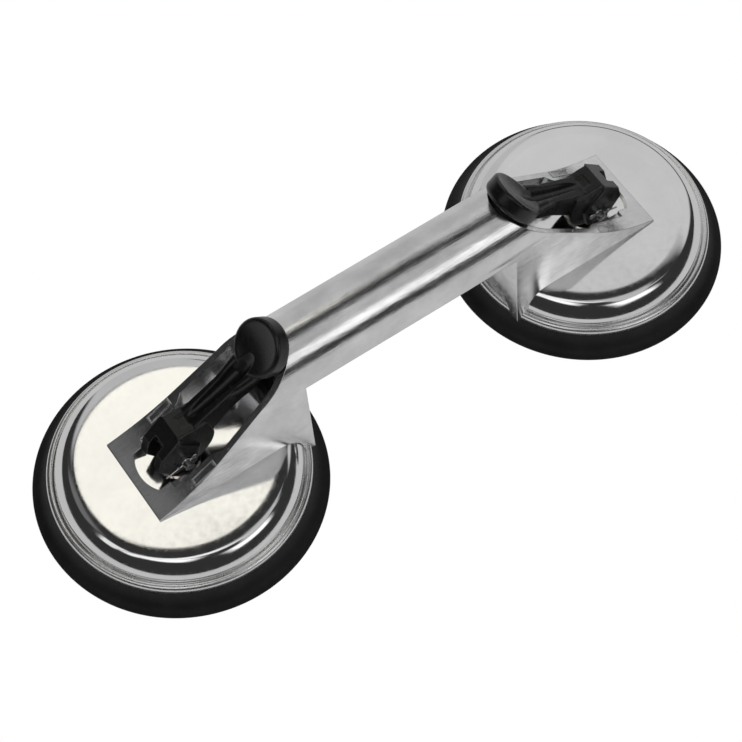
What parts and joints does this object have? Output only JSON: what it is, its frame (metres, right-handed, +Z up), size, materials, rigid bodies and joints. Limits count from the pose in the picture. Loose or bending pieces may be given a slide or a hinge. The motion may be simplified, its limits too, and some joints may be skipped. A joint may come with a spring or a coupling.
{
  "type": "double cup suction lifter",
  "caption": "Suction lifter for floor tiles: rubber pads under pressed metal covers, joined by a cast half-round handle, with a forked cam lever on each cup.",
  "frame": {"origin": "on the floor under the middle of the handle", "axes": "+X along the handle from the left cup to the right cup, +Y across it, +Z up"},
  "size_m": [0.3224, 0.12, 0.0802],
  "materials": {
    "cast_aluminium": "polished die casting",
    "pressed_aluminium": "bright pressed sheet",
    "black_rubber": "moulded, slight sheen",
    "black_plastic": "moulded, semi-matte",
    "zinc_steel": "zinc plated",
    "bush_steel": "bright, warm tint",
    "bright_steel": "bright"
  },
  "bodies": {
    "lifter_body": {"handle_casting": "cast_aluminium", "left_cover": "pressed_aluminium", "left_pad": "black_rubber", "left_cover_screws": "zinc_steel", "left_screw_washers": "zinc_steel", "left_stem_bush": "bush_steel", "right_cover": "pressed_aluminium", "right_pad": "black_rubber", "right_cover_screws": "zinc_steel", "right_screw_washers": "zinc_steel", "right_stem_bush": "bush_steel"},
    "left_plunger": {"left_stem": "zinc_steel", "left_backing_plate": "zinc_steel"},
    "left_lever_unit": {"left_lever": "black_plastic", "left_cross_pin": "bright_steel", "left_pin_clip": "bright_steel"},
    "right_plunger": {"right_stem": "zinc_steel", "right_backing_plate": "zinc_steel"},
    "right_lever_unit": {"right_lever": "black_plastic", "right_cross_pin": "bright_steel", "right_pin_clip": "bright_steel"}
  },
  "joints": [
    {"name": "left_stem_lift", "type": "slide", "parent": "lifter_body", "child": "left_plunger", "axis": [0, 0, 1], "range_m": [0, 0.008], "deforming": ["left_pad"]},
    {"name": "left_lever_turn", "type": "hinge", "parent": "left_plunger", "child": "left_lever_unit", "pos_m": [-0.10125, 0, 0.0311], "axis": [0, -1, 0], "range_deg": [0, 135]},
    {"name": "right_stem_lift", "type": "slide", "parent": "lifter_body", "child": "right_plunger", "axis": [0, 0, 1], "range_m": [0, 0.008], "deforming": ["right_pad"]},
    {"name": "right_lever_turn", "type": "hinge", "parent": "right_plunger", "child": "right_lever_unit", "pos_m": [0.10125, 0, 0.0311], "axis": [0, 1, 0], "range_deg": [0, 135]}
  ],
  "couplings": [
    {"joint": "left_lever_turn", "follows": "left_stem_lift", "rad_per_m": 294.5},
    {"joint": "right_lever_turn", "follows": "right_stem_lift", "rad_per_m": 294.5}
  ]
}
